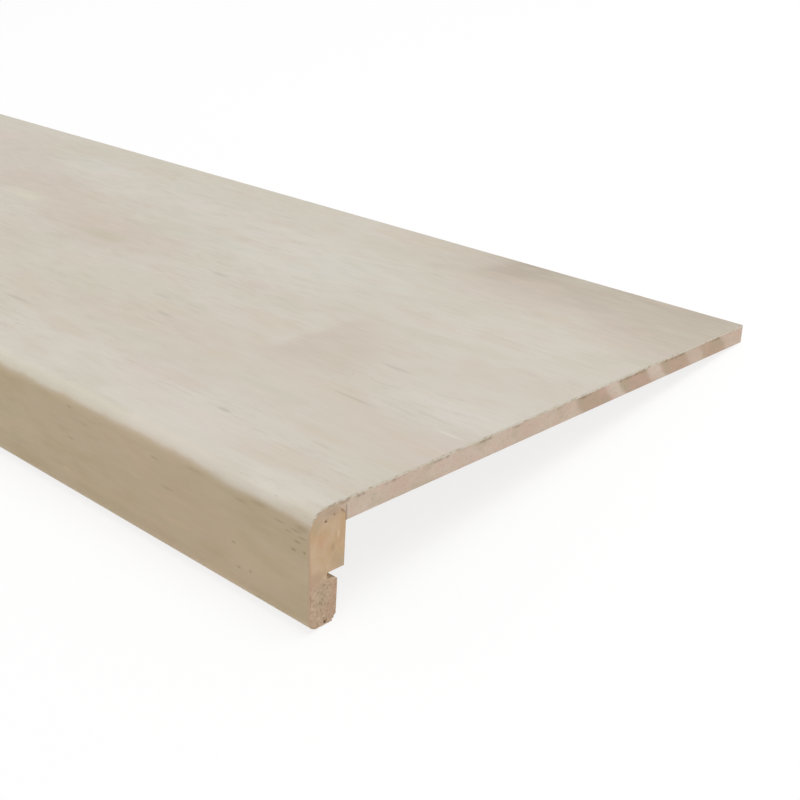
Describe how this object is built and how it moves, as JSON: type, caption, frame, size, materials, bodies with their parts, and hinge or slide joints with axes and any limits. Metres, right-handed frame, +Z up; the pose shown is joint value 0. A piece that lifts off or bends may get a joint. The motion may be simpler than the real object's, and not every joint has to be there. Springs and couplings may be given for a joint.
{
  "type": "stair tread",
  "caption": "Long flat stair tread with a rounded drop-down nosing along its front edge, grooved at the back, faced with wood-print laminate.",
  "frame": {"origin": "centre of the footprint on the floor, with the tread lying top up on the heel of its nosing and on its lower back edge", "axes": "+X along the tread's length, +Y towards its back edge, +Z up; the walking surface falls towards the back by 8.0 degrees"},
  "size_m": [1.194, 0.3114, 0.0509],
  "materials": {
    "laminate": "satin wood print, washed oak",
    "nosing_wood": "raw, sawn",
    "board_wood": "raw, sawn"
  },
  "bodies": {
    "root": {"decor_laminate": "laminate", "nosing_block": "nosing_wood", "tread_board": "board_wood"}
  },
  "joints": []
}
